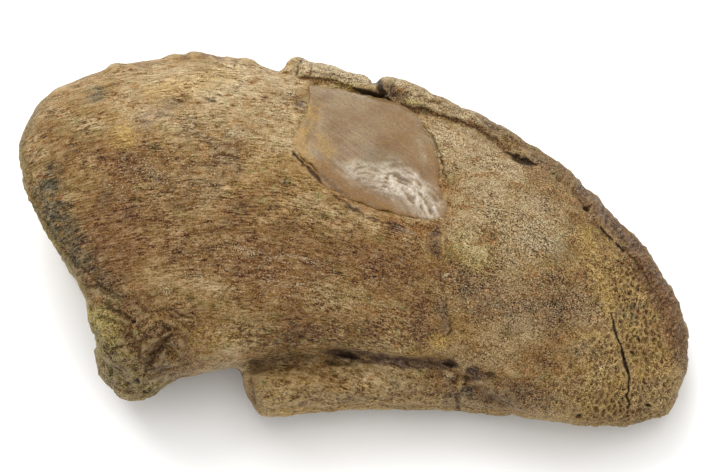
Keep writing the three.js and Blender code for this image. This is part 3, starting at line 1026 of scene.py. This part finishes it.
@dataclass
class RepairFill:
    """The smooth filler let into the flank.

    Attributes:
        name: The piece's name.
        node: The frame solid that it stands for.
        voxel: The mesh's squares, in millimetres.
        middle: The repair's middle, on the flank's plane.
        overlap: How far the filler is smeared over the bone round it.
        dive: How far its very edge sinks into the bone.
        edge_width: How wide a strip counts as its edge.
        most_rise: How far its edge may be lifted to lie level with the bone.
        swell: How far its broad lumps rise.
        fold_height: How high the wrinkles stand.
        foil_height: How high the finer wrinkles stand.
        drag_height: How high the drag marks stand.
        cuts: The creases, ledges and edges pressed into it.
        stains: The colours mixed into it.
    """

    name: str = "repair_fill_surface"
    node: str = "repair_fill"
    voxel: float = 0.35
    middle: tuple[float, float] = (4.0, 20.0)
    overlap: float = 1.3
    dive: float = 0.5
    edge_width: float = 1.4
    most_rise: float = 2.5
    swell: float = 0.3
    fold_height: float = 0.3
    foil_height: float = 0.16
    drag_height: float = 0.05
    cuts: tuple[Furrow, ...] = (
        # The pale ledge on the left, and the ridge along the lower left.
        Furrow([(-10.4, 35), (-11.4, 31), (-12.3, 27), (-12.4, 23)], 1.3, -0.4, 0.7, stain=0),
        Furrow([(-8.6, 34), (-9, 30), (-9.6, 26.5)], 1.0, 0.25, mark=Mark.RUST, stain=0.5),
        Furrow([(-9, 18.6), (-4, 14.6), (2, 10.6), (9, 7.4)], 0.9, -0.2, mark=Mark.RUST, stain=0.6),
        Furrow([(-7, 20.4), (-1, 15.8), (5, 12), (11, 9.4)], 0.6, 0.3, stain=0.2),
        Furrow([(-13, 21), (-9.4, 17), (-5, 13.2), (0, 9.8)], 0.4, 0.4, 1, 0.9, 0.6, stain=0.6),
        # The raised edge on the right, with the dark line beside it.
        Furrow([(12, 31), (15.4, 27.6), (17.2, 23.6), (18.2, 18.5)], 1.6, -0.2, 0.8, stain=0),
    )
    stains: tuple[Stain, ...] = (
        Stain(Mark.GOLD, (
            ([(-11.8, 32), (-14, 24), (-12, 20)], 3.0, 1.0),
            ([(-9.4, 24.6), (-6, 21.6)], 2.2, 0.8),
        )),
        Stain(Mark.RUST, (
            ([(-11, 18.6), (-1.4, 10.8), (9.5, 5.6), (19, 2.6)], 3.0, 1.0),
            ([(19, 22), (21, 12), (22, 5)], 1.6, 0.7), ([(11, 29), (14, 22)], 4.0, 0.45),
        )),
        Stain(Mark.PLUM, (([(-4, 31), (2, 28)], 6.0, 0.4),)),
        Stain(Mark.SLATE, (([(4, 20), (10, 18)], 3.5, 0.35),)),
        # Where it is wrinkled; the finish paints a pale highlight on the wrinkles' crests and shade
        # in their creases.
        Stain(Mark.PALE, (
            ([(8.6, 15), (13.5, 12.8), (18.4, 8.2)], 3.4, 1.0),
            ([(1.2, 16.8), (8, 14.8)], 3.0, 0.5),
        )),
    )

    def build(self, bone: bpy.types.Object) -> bpy.types.Object:
        """Make the pressed mesh.

        Args:
            bone: The carved bone that the filler is let into.

        Returns:
            The finished object, before its finish.
        """
        piece = copy_node(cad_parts[self.node], self.name)
        even_out(piece, self.voxel)
        soften(piece.data, 6)
        skin = Skin(piece.data)
        self.smear(skin, bone)
        uneven = rough(skin.places, (4, 3, 3), 3, seed=22)
        for stain in self.stains:
            stain.lay(skin, uneven)
        self.crease(skin)
        for cut in self.cuts:
            cut.carve(skin)
        skin.refresh()
        skin.write_marks()
        return piece

    def smear(self, skin: Skin, bone: bpy.types.Object) -> None:
        """Draw the filler out over the bone, and settle its edge level with the bone's skin.

        Args:
            skin: The filler's surface.
            bone: The carved bone that it is smeared over.
        """
        away = skin.flank() - np.array(self.middle)
        far = np.linalg.norm(away, axis=1)
        way = away / np.maximum(far, 1e-6)[:, None]
        bearing = np.degrees(np.arctan2(away[:, 1], away[:, 0])) / (360 / SECTORS)
        sector = np.round(bearing).astype(int) % SECTORS
        reach = np.zeros(SECTORS)
        np.maximum.at(reach, sector, far)
        inset = reach[sector] - far
        uneven = 1 + 0.5 * rough(skin.places, (4, 4, 4), 3, seed=14)
        skin.places[:, :2] += (self.overlap * step_up(inset, 5, 0) * uneven)[:, None] * way
        skin.refresh()
        rise = self.rise_to(bone, skin, np.where(inset < self.edge_width, sector, -1))
        lift = np.interp(bearing % SECTORS, np.arange(SECTORS + 1), np.append(rise, rise[0]))
        lift = lift * step_up(inset, 6, 0.8) - self.dive * step_up(inset, 0.9, 0.1)
        skin.places += FLANK_OUT * (lift * step_up(skin.facing(), -0.2, 0.3))[:, None]
        skin.refresh()

    def rise_to(self, bone: bpy.types.Object, skin: Skin, sector: Array) -> Array:
        """Measure how far the filler's edge lies below the bone's surface.

        Args:
            bone: The carved bone.
            skin: The filler's surface.
            sector: The sector that each corner of the edge is in, and -1 for the rest.

        Returns:
            One height a sector, in millimetres, evened out over its neighbours.
        """
        tree = BVHTree.FromObject(bone, bpy.context.evaluated_depsgraph_get())
        rise = np.zeros(SECTORS)
        for number in range(SECTORS):
            gaps = []
            for place in skin.places[(sector == number) & (skin.facing() > TOP_FACE)]:
                start = Vector((place + 12 * FLANK_OUT) * MM)
                hit = tree.ray_cast(start, Vector(-FLANK_OUT))[0]
                if hit is not None:
                    gaps.append((np.array(hit) / MM - place) @ FLANK_OUT)
            rise[number] = np.median(gaps) if gaps else 0
        ring = np.concatenate([rise[-2:], rise, rise[:2]])
        even = np.array([np.median(ring[number : number + 5]) for number in range(SECTORS)])
        return np.clip(even, -0.2, self.most_rise)

    def crease(self, skin: Skin) -> None:
        """Swell the filler a little, and wrinkle its lower half.

        Args:
            skin: The filler's surface.
        """
        places = skin.flank()
        slant = places @ np.array([0.8, -0.6])
        bowed = places @ np.array([0.6, 0.8]) + 0.03 * (slant - 4) ** 2
        along = np.column_stack([slant, bowed, 0 * slant])
        fold = 1 - np.abs(rough(along, (5.5, 1.5, 1), 3, seed=11)) / 0.4
        foil = 1 - np.abs(rough(along, (2.2, 1.1, 1), 3, seed=15)) / 0.4
        wrinkled = skin.marks[Mark.PALE]
        move = self.swell * rough(skin.places, (12, 9, 9), 2, seed=12)
        move += self.fold_height * wrinkled * np.clip(fold, -0.5, 1) ** 2 * np.sign(fold)
        move += self.foil_height * wrinkled * np.clip(foil, -0.5, 1)
        move += self.drag_height * rough(along, (8, 1.1, 1), 3, seed=13)
        skin.places += skin.outward * (move * step_up(skin.facing(), 0.2, 0.7))[:, None]
        skin.refresh()
        # The crests are marked for a painted pale highlight, the creases for painted shade.
        high = 0.6 * fold + 0.5 * foil
        skin.mark(Mark.RIDGE, wrinkled * step_up(high, -0.1, 0.7))
        skin.mark(Mark.HOLLOW, wrinkled * step_up(high, 0.05, -0.5))

    def dress(self, piece: bpy.types.Object) -> None:
        """Give the filler its finish and its place in the frame."""
        hand_over(piece, FillerResin().make(), self.node)


# ------------------------------------------------------------------ finishes


@dataclass(frozen=True)
class Pattern:
    """A noise pattern of a finish.

    Attributes:
        name: What it draws.
        size: The size of a lump along each axis, in millimetres.
        detail: How many finer layers it has.
        roughness: How strong those are.
        on_grain: Whether it is drawn out along the grain.
        shift: Moves the pattern.
        turn: Turns it on the table, in degrees, before its sizes are measured.
    """

    name: str
    size: tuple[float, float, float]
    detail: float
    roughness: float = 0.5
    on_grain: bool = False
    shift: tuple[float, float, float] = (0, 0, 0)
    turn: float = 0.0


class Paper:
    """A material's node tree while it is drawn up."""

    def __init__(self, name: str) -> None:
        """Start a material.

        Args:
            name: The material's name.
        """
        self.material = bpy.data.materials.new(name)
        self.material.use_nodes = True
        self.tree = self.material.node_tree
        self.shader = self.tree.nodes["Principled BSDF"]
        self.marks = {m: self.add("Attribute", "Fac", {"attribute_name": m.value}) for m in Mark}

    def add(
        self, kind: str, out: int | str = 0, settings: dict[str, Any] | None = None, **links: Any
    ) -> Any:
        """Add a node with its settings and links.

        Args:
            kind: The node's type, without its ShaderNode prefix.
            out: The output that is wanted.
            settings: The node's own properties, and for a ramp its (place, colour) stops.
            links: Values or other nodes' outputs, by socket name with _ for a space, or by
                i and the socket's number.

        Returns:
            The wanted output's socket.
        """
        node = self.tree.nodes.new("ShaderNode" + kind)
        wanted = dict(settings or {})
        ends = {0.0: 0, 1.0: -1}
        for place, colour in wanted.pop("stops", ()):
            elements = node.color_ramp.elements
            element = elements[ends[place]] if place in ends else elements.new(place)
            element.color = linear(colour)
        for key, value in wanted.items():
            setattr(node, key, value)
        for key, value in links.items():
            number = key[0] == "i" and key[1:].isdigit()
            self.plug(node.inputs[int(key[1:]) if number else key.replace("_", " ")], value)
        return node.outputs[out]

    def plug(self, socket: bpy.types.NodeSocket, value: Any) -> None:
        """Link a socket to another node's output, or set it to a value.

        Args:
            socket: The socket to fill.
            value: The output or the value.
        """
        if isinstance(value, bpy.types.NodeSocket):
            self.tree.links.new(value, socket)
        else:
            socket.default_value = value

    def lay_out(self, patterns: Sequence[Pattern]) -> dict[str, Any]:
        """Lay out the finish's patterns, each at its real size.

        Args:
            patterns: The patterns.

        Returns:
            Each pattern's socket, by name.
        """
        spot = self.add("TexCoord", "Object")
        spot = self.add("Mapping", Vector=spot, Scale=(1 / MM, 1 / MM, 1 / MM))
        grain = self.add("Attribute", "Vector", {"attribute_name": "grain"})
        laid = {}
        for pattern in patterns:
            place = grain if pattern.on_grain else spot
            if pattern.turn:
                turn = (0, 0, math.radians(pattern.turn))
                place = self.add("Mapping", Vector=place, Rotation=turn)
            scale = tuple(1 / size for size in pattern.size)
            place = self.add("Mapping", Vector=place, Location=pattern.shift, Scale=scale)
            laid[pattern.name] = self.add(
                "TexNoise", Vector=place, Scale=1.0, Detail=pattern.detail,
                Roughness=pattern.roughness,
            )
        return laid

    def finish(self, **values: Any) -> bpy.types.Material:
        """Link or set the shader's own sockets.

        Args:
            values: A value or an output for each socket, by name with _ for a space.

        Returns:
            The material.
        """
        for key, value in values.items():
            self.plug(self.shader.inputs[key.replace("_", " ")], value)
        return self.material


TIMES = {"operation": "MULTIPLY"}
TIMES_PLUS = {"operation": "MULTIPLY_ADD"}
LESS = {"operation": "SUBTRACT"}
LARGER = {"operation": "MAXIMUM"}
EASED = {"interpolation_type": "SMOOTHSTEP"}
LAY_OVER = {"data_type": "RGBA", "blend_type": "MIX"}
LAY_TIMES = {"data_type": "RGBA", "blend_type": "MULTIPLY"}
LAY_PLUS = {"data_type": "RGBA", "blend_type": "ADD", "clamp_result": True}


@dataclass(frozen=True)
class FossilBone:
    """Mineralised bone, weathered and cleaned by hand.

    It is matt and fibrous: fine streaks and vessel pits follow the grain, minerals stain
    it in soft patches, pale crystal flecks dot it, thick where painted highlight specks are
    laid, and its cracks, pits and hollows are darkened with grime and painted shade.
    """

    name: str = "weathered_fossil_bone"
    dark: str = "#735326"
    body: str = "#8f7142"
    light: str = "#a6906c"
    # grime in cracks, holes and slots, and the painted shade that falls in them
    grime_and_shade: str = "#2c1d10"
    pale: str = "#c6b998"
    rubbed: str = "#b29b70"
    lichen: str = "#7f7445"
    ochre: str = "#8b6335"
    umber_stain_and_shade: str = "#beaa74"  # multiplies the bone over the umber patches: darker over the middle and lower flank, and painted shade along the back groove
    hole: str = "#a08c74"  # multiplies the bone in pits, pores and hollows: grime and painted shade
    soaked: tuple[tuple[Mark, str], ...] = (
        (Mark.SLATE, "#565443"),
        (Mark.RUST, "#805a2a"),
        (Mark.OLIVE, "#968944"),
        (Mark.WORN, "#b9a582"),
        (Mark.GOLD, "#a8894b"),
        (Mark.PLUM, "#66503e"),
    )
    grit_strength: float = 1.75
    fibre_strength: float = 2.15
    streak_strength: float = 0.75
    grey_share: float = 0.11  # share of the tone that shifts every channel alike, partly standing for painted highlight specks on the grit
    roughness: float = 0.52
    patterns: tuple[Pattern, ...] = (
        Pattern("broad", (22, 17, 17), 5, 0.6),  # drifts of mineral, a thumb's breadth apart
        Pattern("cloud", (3.2, 2.6, 2.6), 4, 0.65),
        Pattern("streak", (7, 1.3, 1.6), 4, 0.6, on_grain=True),
        Pattern("fibre", (2.6, 0.45, 0.55), 3, 0.65, on_grain=True),
        Pattern("grit", (0.36, 0.36, 0.36), 2, 0.7),  # real grit is half as big
        Pattern("patch", (8, 6, 6), 2),
        Pattern("pit", (1.2, 0.42, 0.5), 1, on_grain=True),
        Pattern("pore", (0.8, 0.62, 0.62), 1, shift=(31, 7, 3)),
        Pattern("fleck", (0.45, 0.36, 0.36), 1, shift=(5, 41, 9)),
    )

    def make(self) -> bpy.types.Material:
        """Draw up the material.

        Returns:
            The material.
        """
        paper = Paper(self.name)
        laid = paper.lay_out(self.patterns)
        colour = self.soak(paper, laid)
        patch = paper.add(
            "MapRange", settings=EASED, Value=laid["patch"], From_Min=0.4, From_Max=0.6
        )
        threads = paper.add(
            "Mix", 0, i0=paper.marks[Mark.FIBROUS], i2=laid["grit"], i3=laid["fibre"]
        )
        colour = self.shade(paper, laid, colour, threads, patch)
        hole = self.holes(paper, laid, patch)
        colour = self.crust(paper, laid, colour, hole)
        add = paper.add
        height = add("Math", settings=TIMES_PLUS, i0=laid["grit"], i1=0.7, i2=threads)
        sunk = add("Math", settings=TIMES, i0=hole, i1=0.6)
        height = add("Math", settings=LESS, i0=height, i1=sunk)
        bump = add("Bump", Height=height, Strength=0.9, Distance=0.55 * MM)
        gloss = add(
            "Math", settings=TIMES_PLUS, i0=laid["streak"], i1=-0.3, i2=self.roughness + 0.15
        )
        return paper.finish(
            Base_Color=colour, Roughness=gloss, Normal=bump, IOR=1.5, Specular_IOR_Level=0.22
        )

    def soak(self, paper: Paper, laid: dict[str, Any]) -> Any:
        """Colour the bone with broad drifts of mineral and the stains that the carving laid.

        Args:
            paper: The material.
            laid: The patterns' sockets.

        Returns:
            The colour's socket.
        """
        add, cloud = paper.add, laid["cloud"]
        stops = [(0.0, self.dark), (0.36, self.dark), (0.5, self.body), (0.64, self.light)]
        colour = add("ValToRGB", settings={"stops": [*stops, (1.0, self.light)]}, i0=laid["broad"])
        for low, high, tint in ((0.54, 0.72, self.lichen), (0.44, 0.3, self.ochre)):
            share = add("MapRange", settings=EASED, Value=cloud, From_Min=low, From_Max=high)
            colour = add("Mix", 2, LAY_OVER, i0=share, i6=colour, i7=linear(tint))
        cloud = add("MapRange", settings=EASED, Value=cloud, From_Min=0.32, From_Max=0.54)
        for mark, tint in self.soaked:
            share = add("Math", settings=TIMES, i0=paper.marks[mark], i1=cloud)
            colour = add("Mix", 2, LAY_OVER, i0=share, i6=colour, i7=linear(tint))
        soft = add("MapRange", Value=cloud, To_Min=0.75, To_Max=1.0)
        share = add("Math", settings=TIMES, i0=paper.marks[Mark.UMBER], i1=soft)
        return add("Mix", 2, LAY_TIMES, i0=share, i6=colour, i7=linear(self.umber_stain_and_shade))

    def shade(
        self, paper: Paper, laid: dict[str, Any], colour: Any, threads: Any, patch: Any
    ) -> Any:
        """Darken and lighten the bone along its fibres and between them, hue unchanged.

        Args:
            paper: The material.
            laid: The patterns' sockets.
            colour: The colour so far.
            threads: The fibres, or grit where there are none.
            patch: Where the texture is harsher.

        Returns:
            The colour's socket.
        """
        add = paper.add
        tone = -0.5 * (self.grit_strength + self.fibre_strength + self.streak_strength)
        for pattern, strength in (
            (laid["streak"], self.streak_strength),
            (threads, self.fibre_strength),
            (laid["grit"], self.grit_strength),
        ):
            tone = add("Math", settings=TIMES_PLUS, i0=pattern, i1=strength, i2=tone)
        harsh = add("Math", settings=TIMES_PLUS, i0=patch, i1=0.4, i2=0.75)
        harsh = add("Math", settings=TIMES_PLUS, i0=paper.marks[Mark.POROUS], i1=0.25, i2=harsh)
        tone = add("Math", settings=TIMES, i0=tone, i1=harsh)
        shade = add("Math", settings={"operation": "ADD"}, i0=tone, i1=1.0)
        colour = add("Mix", 2, LAY_TIMES, i0=1.0, i6=colour, i7=shade)
        return add("Mix", 2, LAY_PLUS, i0=self.grey_share, i6=colour, i7=tone)

    def holes(self, paper: Paper, laid: dict[str, Any], patch: Any) -> Any:
        """Open vessel pits along the grain, in clusters, and round pores in spongy bone.

        Args:
            paper: The material.
            laid: The patterns' sockets.
            patch: Where the pits cluster.

        Returns:
            The holes' socket.
        """
        add = paper.add
        pit = add("MapRange", settings=EASED, Value=laid["pit"], From_Min=0.59, From_Max=0.68)
        pit = add("Math", settings=TIMES, i0=pit, i1=patch)
        pore = add("MapRange", settings=EASED, Value=laid["pore"], From_Min=0.55, From_Max=0.63)
        pore = add("Math", settings=TIMES, i0=pore, i1=paper.marks[Mark.POROUS])
        return add("Math", settings=LARGER, i0=pit, i1=pore)

    def crust(self, paper: Paper, laid: dict[str, Any], colour: Any, hole: Any) -> Any:
        """Lay on pale flecks, thickest as painted highlight specks, grime and painted shade in the
        pits, hollows and cracks, and light on the rubbed high spots.

        Args:
            paper: The material.
            laid: The patterns' sockets.
            colour: The colour so far.
            hole: The holes' socket.

        Returns:
            The colour's socket.
        """
        add, marks = paper.add, paper.marks
        # Pits, pores and hollows are darkened: grime in them, and painted shade.
        colour = add("Mix", 2, LAY_TIMES, i0=hole, i6=colour, i7=linear(self.hole))
        # Pale flecks lie all over, thicker where FLECKED marks painted highlight specks.
        fleck = add("MapRange", settings=EASED, Value=laid["fleck"], From_Min=0.6, From_Max=0.7)
        thick = add("Math", settings=TIMES_PLUS, i0=marks[Mark.FLECKED], i1=0.45, i2=0.2)
        chalk = add("MapRange", settings=EASED, Value=laid["grit"], From_Min=0.48, From_Max=0.62)
        # Hollows and cracks get grime and painted shade; rubbed high spots get lighter.
        for share, much, lay, tint in (
            (fleck, thick, LAY_OVER, self.pale),
            (marks[Mark.PALE], chalk, LAY_OVER, self.pale),
            (marks[Mark.RIDGE], 0.4, LAY_OVER, self.rubbed),
            (marks[Mark.HOLLOW], 0.65, LAY_TIMES, self.hole),
            (marks[Mark.DIRT_AND_SHADE], 0.9, LAY_OVER, self.grime_and_shade),
        ):
            share = add("Math", settings=TIMES, i0=share, i1=much)
            colour = add("Mix", 2, lay, i0=share, i6=colour, i7=linear(tint))
        return colour


@dataclass(frozen=True)
class FillerResin:
    """Tinted filler resin, pressed in by hand and left glossy.

    It is smooth and wet-looking, so it shines in broad soft streaks, and where it was
    dragged while setting it is wrinkled, with a painted pale highlight on the crests of
    the wrinkles and painted shade in their creases.
    """

    name: str = "pressed_filler_resin"
    tan: str = "#78623f"
    caramel: str = "#6a4c24"
    painted_silver_highlight: str = "#c0b5a2"
    # dark: painted shade in the wrinkles' creases, and grime with painted shade in the cracks
    dark: str = "#3b2716"
    mixed: tuple[tuple[Mark, str], ...] = (
        (Mark.PLUM, "#7a6346"),
        (Mark.SLATE, "#6c6750"),
        (Mark.RUST, "#6f4d1c"),
        (Mark.GOLD, "#8c6e3a"),
    )
    roughness: float = 0.32
    coat: float = 0.35
    patterns: tuple[Pattern, ...] = (
        Pattern("drift", (10, 7, 7), 4, 0.55),
        Pattern("cloud", (3, 2.4, 2.4), 3, 0.6),
        Pattern("drag", (4.5, 0.7, 0.8), 3, 0.6, turn=38),  # slants down to the right
        Pattern("speck", (0.42, 0.36, 0.36), 2, 0.7),
    )

    def make(self) -> bpy.types.Material:
        """Draw up the material.

        Returns:
            The material.
        """
        paper = Paper(self.name)
        add, marks, laid = paper.add, paper.marks, paper.lay_out(self.patterns)
        drag, speck = laid["drag"], laid["speck"]
        stops = [(0.0, self.caramel), (0.4, self.caramel), (0.6, self.tan), (1.0, self.tan)]
        colour = add("ValToRGB", settings={"stops": stops}, i0=laid["drift"])
        cloud = add("MapRange", settings=EASED, Value=laid["cloud"], From_Min=0.3, From_Max=0.52)
        for mark, tint in self.mixed:
            share = add("Math", settings=TIMES, i0=marks[mark], i1=cloud)
            colour = add("Mix", 2, LAY_OVER, i0=share, i6=colour, i7=linear(tint))

        # Drag marks and specks darken and lighten it; on the wrinkles a painted pale highlight is
        # laid over their crests and painted shade in their creases, beside their real shine.
        tone = add("Math", settings=TIMES_PLUS, i0=drag, i1=0.6, i2=-1.2)
        tone = add("Math", settings=TIMES_PLUS, i0=speck, i1=1.8, i2=tone)
        shade = add("Math", settings={"operation": "ADD"}, i0=tone, i1=1.0)
        colour = add("Mix", 2, LAY_TIMES, i0=1.0, i6=colour, i7=shade)
        painted_glint = add("MapRange", settings=EASED, Value=speck, From_Min=0.2, From_Max=0.52)
        painted_glint = add("Math", settings=TIMES, i0=painted_glint, i1=marks[Mark.RIDGE])
        for share, much, tint in (
            (painted_glint, 0.75, self.painted_silver_highlight),
            (marks[Mark.HOLLOW], 0.7, self.dark),
            (marks[Mark.DIRT_AND_SHADE], 0.8, self.dark),
        ):
            share = add("Math", settings=TIMES, i0=share, i1=much)
            colour = add("Mix", 2, LAY_OVER, i0=share, i6=colour, i7=linear(tint))

        # It was rubbed dull where it thins out to a caramel or golden edge.
        height = add("Math", settings=TIMES_PLUS, i0=speck, i1=0.35, i2=drag)
        bump = add("Bump", Height=height, Strength=0.5, Distance=0.3 * MM)
        edge = add("Math", settings=LARGER, i0=marks[Mark.RUST], i1=marks[Mark.GOLD])
        dull = add("Math", settings=TIMES_PLUS, i0=edge, i1=0.3, i2=self.roughness)
        coat = add("Math", settings=TIMES_PLUS, i0=edge, i1=-0.33, i2=self.coat)
        return paper.finish(
            Base_Color=colour, Normal=bump, Roughness=dull, IOR=1.52,
            Coat_Weight=coat, Coat_Roughness=0.2,
        )


@dataclass(frozen=True)
class MattLaminate:
    """Plain white table laminate, pressed matt, so that it shows only soft shadow."""

    name: str = "matt_white_laminate"
    white: str = "#fbfbfa"

    def make(self) -> bpy.types.Material:
        """Draw up the material."""
        return Paper(self.name).finish(
            Base_Color=linear(self.white), Roughness=0.9, Specular_IOR_Level=0.1
        )


# ------------------------------------------------------------------ the table and the light


@dataclass(frozen=True)
class WhiteTable:
    """A matt white sheet that the claw lies on."""

    name: str = "white_table"
    side: float = 6.0

    def build(self) -> bpy.types.Object:
        """Make the sheet.

        Returns:
            The sheet's object.
        """
        bm = bmesh.new()
        bmesh.ops.create_grid(bm, x_segments=1, y_segments=1, size=self.side / 2)
        mesh = bpy.data.meshes.new(self.name)
        bm.to_mesh(mesh)
        bm.free()
        sheet = bpy.data.objects.new(self.name, mesh)
        bpy.context.scene.collection.objects.link(sheet)
        mesh.materials.append(MattLaminate().make())
        return sheet


@dataclass(frozen=True)
class Studio:
    """A big soft light behind the claw, a weaker one above it, and a pale room.

    Attributes:
        lamps: Each lamp's name, place and side in metres, and its power in watts.
        white: The room's colour.
        room: How bright the room is.
    """

    lamps: tuple[tuple[str, tuple[float, float, float], float, float], ...] = (
        ("main_softbox", (-0.45, 0.85, 1.1), 1.1, 17.0),
        ("top_softbox", (0.05, 0.1, 1.4), 0.9, 6.0),
    )
    white: str = "#ffffff"
    room: float = 0.85

    def build(self, aim: Vector) -> None:
        """Hang the lights and paint the room.

        Args:
            aim: The middle of the claw.
        """
        for name, place, side, power in self.lamps:
            light = bpy.data.lights.new(name, "AREA")
            light.energy = power
            light.size = side
            lamp = bpy.data.objects.new(name, light)
            lamp.location = place
            lamp.rotation_euler = (aim - lamp.location).to_track_quat("-Z", "Y").to_euler()
            bpy.context.scene.collection.objects.link(lamp)
        world = bpy.data.worlds.new("pale_room")
        world.use_nodes = True
        background = world.node_tree.nodes["Background"]
        background.inputs[0].default_value = linear(self.white)
        background.inputs[1].default_value = self.room
        bpy.context.scene.world = world
        bpy.context.scene.view_settings.view_transform = "Standard"


@dataclass(frozen=True)
class Viewpoint:
    """The camera, over the claw and a little in front of it.

    Attributes:
        elevation: The camera's height above the table, as an angle in degrees.
        lens: Its focal length, in millimetres.
        sensor: The width of its sensor, in millimetres.
        frame_share: The share of the picture's width that the claw fills.
        rise: How far above the claw's middle it aims, in metres.
        step_back: How much further back it stands, because the claw is thick, in metres.
    """

    elevation: float = 70.0
    lens: float = 220.0
    sensor: float = 36.0
    frame_share: float = 667 / 708
    rise: float = 0.0008
    step_back: float = 0.02

    def build(self, low: Vector, high: Vector) -> bpy.types.Object:
        """Set up the camera.

        Args:
            low: The claw's lowest corner.
            high: The claw's highest corner.

        Returns:
            The camera's object.
        """
        data = bpy.data.cameras.new("camera")
        data.lens = self.lens
        data.sensor_width = self.sensor
        camera = bpy.data.objects.new("camera", data)
        bpy.context.scene.collection.objects.link(camera)
        tilt = math.radians(self.elevation)
        away = Vector((0, -math.cos(tilt), math.sin(tilt)))
        up = Vector((0, math.sin(tilt), math.cos(tilt)))
        middle = Vector(((low.x + high.x) / 2, 0, 0)) + up * (FLANK_MIDDLE * MM + self.rise)
        width = (high.x - low.x) / self.frame_share
        distance = width * self.lens / self.sensor + self.step_back
        camera.location = middle + away * distance
        camera.rotation_euler = (-away).to_track_quat("-Z", "Y").to_euler()
        bpy.context.scene.camera = camera
        return camera


# ------------------------------------------------------------------ main


def main() -> None:
    """Build the claw, the table, the light and the camera, in that order."""
    logging.basicConfig(level=logging.INFO, format="%(name)s: %(message)s")
    claw, fill = ClawBone(), RepairFill()
    bone = claw.build()
    claw.dress(bone)
    filler = fill.build(bone)
    fill.dress(filler)
    for piece in (bone, filler):
        LOG.info("%s: %d triangles", piece.name, triangles(piece.data))
    WhiteTable().build()
    low, high = cad_box
    Studio().build((low + high) / 2)
    Viewpoint().build(low, high)


if __name__ == "__main__":
    main()
